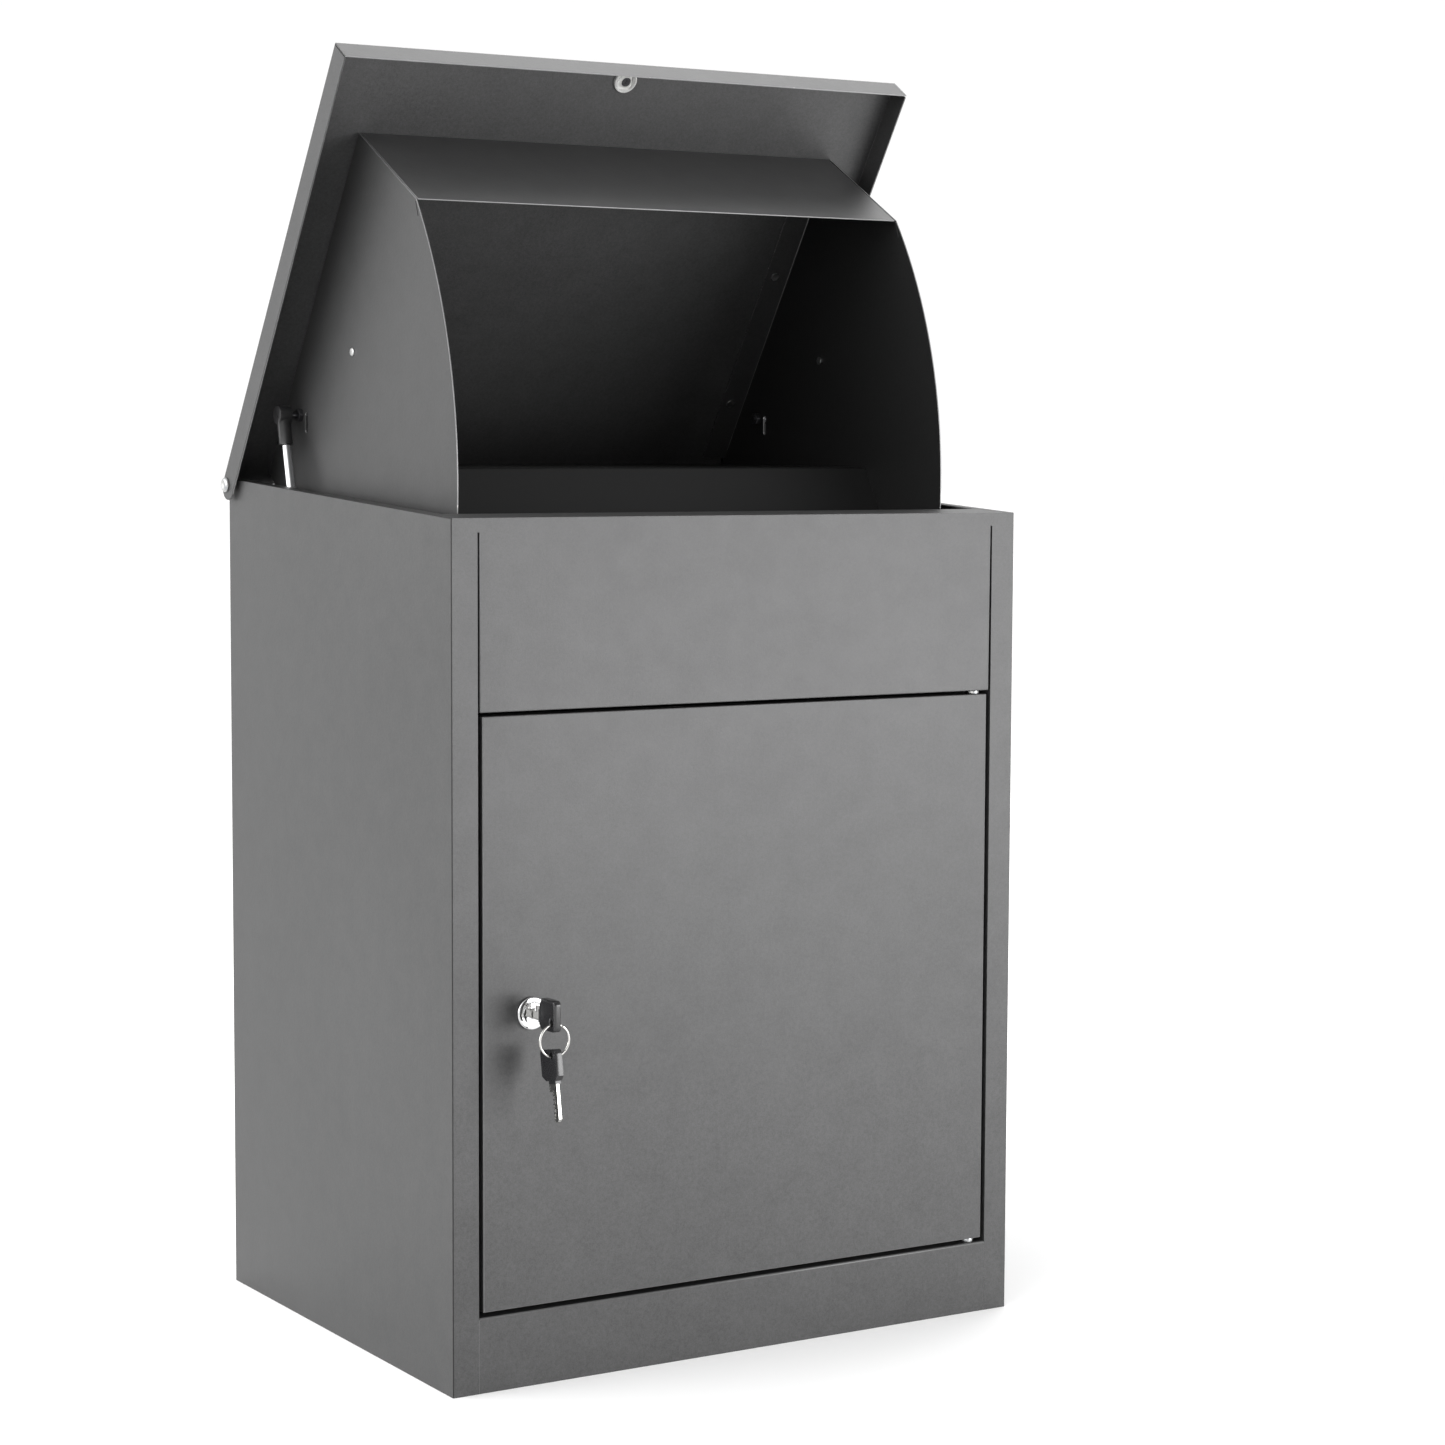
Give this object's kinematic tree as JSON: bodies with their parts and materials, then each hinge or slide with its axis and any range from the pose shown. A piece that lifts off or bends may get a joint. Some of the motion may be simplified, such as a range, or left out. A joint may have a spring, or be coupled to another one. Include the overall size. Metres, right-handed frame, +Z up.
{
  "type": "parcel drop box",
  "caption": "Steel parcel drop box with a sloping rear-hinged lid that lifts a parcel scoop on gas struts, and a key-locked front door.",
  "frame": {"origin": "centre of the base on the surface it stands on", "axes": "+Z up, -Y out of the door's face, +X towards the door's hinges"},
  "size_m": [0.4498, 0.386, 0.867],
  "materials": {
    "powder_coat": "satin fine-textured powder coat",
    "zinc_steel": "bright zinc plate",
    "black_oxide": "oiled black oxide",
    "chromed_lock": "bright chrome",
    "nickel_key": "nickel plate",
    "key_plastic": "moulded, fine grain",
    "nylon": "natural nylon",
    "buffer": "smooth white nylon",
    "strut_rod": "ground and chromed",
    "strut_tube": "black enamel",
    "strut_seal": "black nitrile and sintered guide",
    "socket_plastic": "glass-filled nylon"
  },
  "bodies": {
    "root": {"right_side_panel": "powder_coat", "left_side_panel": "powder_coat", "back_panel": "powder_coat", "base_panel": "powder_coat", "header_panel": "powder_coat", "lower_front_rail": "powder_coat", "lid_pivot_rivets": "zinc_steel", "lid_pivot_washers": "nylon", "strut_brackets": "powder_coat", "strut_foot_studs": "zinc_steel", "door_hinge_pins": "zinc_steel", "door_hinge_washers": "zinc_steel"},
    "lid": {"lid_panel": "powder_coat", "scoop_right_cheek": "powder_coat", "scoop_left_cheek": "powder_coat", "scoop_lip": "powder_coat", "scoop_floor": "powder_coat", "scoop_rivets": "zinc_steel", "strut_top_studs": "black_oxide", "strut_top_nuts": "black_oxide", "lid_bumper": "buffer", "bumper_screw": "black_oxide"},
    "right_rod": {"right_strut_rod": "strut_rod", "right_strut_piston": "strut_seal", "right_strut_top_socket": "socket_plastic"},
    "left_rod": {"left_strut_rod": "strut_rod", "left_strut_piston": "strut_seal", "left_strut_top_socket": "socket_plastic"},
    "right_tube": {"right_strut_tube": "strut_tube", "right_strut_guide": "strut_seal", "right_strut_foot_socket": "socket_plastic"},
    "left_tube": {"left_strut_tube": "strut_tube", "left_strut_guide": "strut_seal", "left_strut_foot_socket": "socket_plastic"},
    "door": {"door_panel": "powder_coat", "lock_housing": "chromed_lock", "lock_nut": "zinc_steel"},
    "plug": {"lock_plug": "chromed_lock", "lock_cam": "zinc_steel", "cam_screw": "zinc_steel"},
    "key": {"key_blade": "nickel_key", "key_bow": "key_plastic"},
    "ring": {"key_ring": "nickel_key"},
    "spare_key": {"spare_key_blade": "nickel_key", "spare_key_bow": "key_plastic"}
  },
  "joints": [
    {"name": "lid_hinge", "type": "hinge", "parent": "root", "child": "lid", "pos_m": [0, 0.1679, 0.5758], "axis": [1, 0, 0], "range_deg": [0, 59.6]},
    {"name": "right_rod_pivot", "type": "hinge", "parent": "lid", "child": "right_rod", "pos_m": [0.203, 0.1128, 0.625], "axis": [1, 0, 0], "range_deg": [-60.64, 0]},
    {"name": "right_strut_stroke", "type": "slide", "parent": "right_rod", "child": "right_tube", "axis": [0, 0.2391, 0.971], "range_m": [0, 0.07356]},
    {"name": "left_rod_pivot", "type": "hinge", "parent": "lid", "child": "left_rod", "pos_m": [-0.203, 0.1128, 0.625], "axis": [1, 0, 0], "range_deg": [-60.64, 0]},
    {"name": "left_strut_stroke", "type": "slide", "parent": "left_rod", "child": "left_tube", "axis": [0, 0.2391, 0.971], "range_m": [0, 0.07356]},
    {"name": "door_hinge", "type": "hinge", "parent": "root", "child": "door", "pos_m": [0.1885, -0.1665, 0.05], "axis": [0, 0, 1], "range_deg": [0, 105]},
    {"name": "lock_turn", "type": "hinge", "parent": "door", "child": "plug", "pos_m": [-0.1615, -0.1725, 0.2436], "axis": [0, 1, 0], "range_deg": [0, 90]},
    {"name": "key_slide", "type": "slide", "parent": "plug", "child": "key", "axis": [0, -1, 0], "range_m": [-0.005, 0.016]},
    {"name": "ring_swing", "type": "hinge", "parent": "key", "child": "ring", "pos_m": [-0.1615, -0.2035, 0.2408], "axis": [-1, 0, 0], "range_deg": [-8, 80]},
    {"name": "spare_key_swing", "type": "hinge", "parent": "ring", "child": "spare_key", "pos_m": [-0.1615, -0.2035, 0.2202], "axis": [-1, 0, 0], "range_deg": [-8, 60]}
  ],
  "couplings": [
    {"joint": "right_rod_pivot", "follows": "lid_hinge", "ratio": -1.0157},
    {"joint": "right_strut_stroke", "follows": "lid_hinge", "m_per_rad": 0.070527},
    {"joint": "left_rod_pivot", "follows": "lid_hinge", "ratio": -1.0157},
    {"joint": "left_strut_stroke", "follows": "lid_hinge", "m_per_rad": 0.070527}
  ]
}
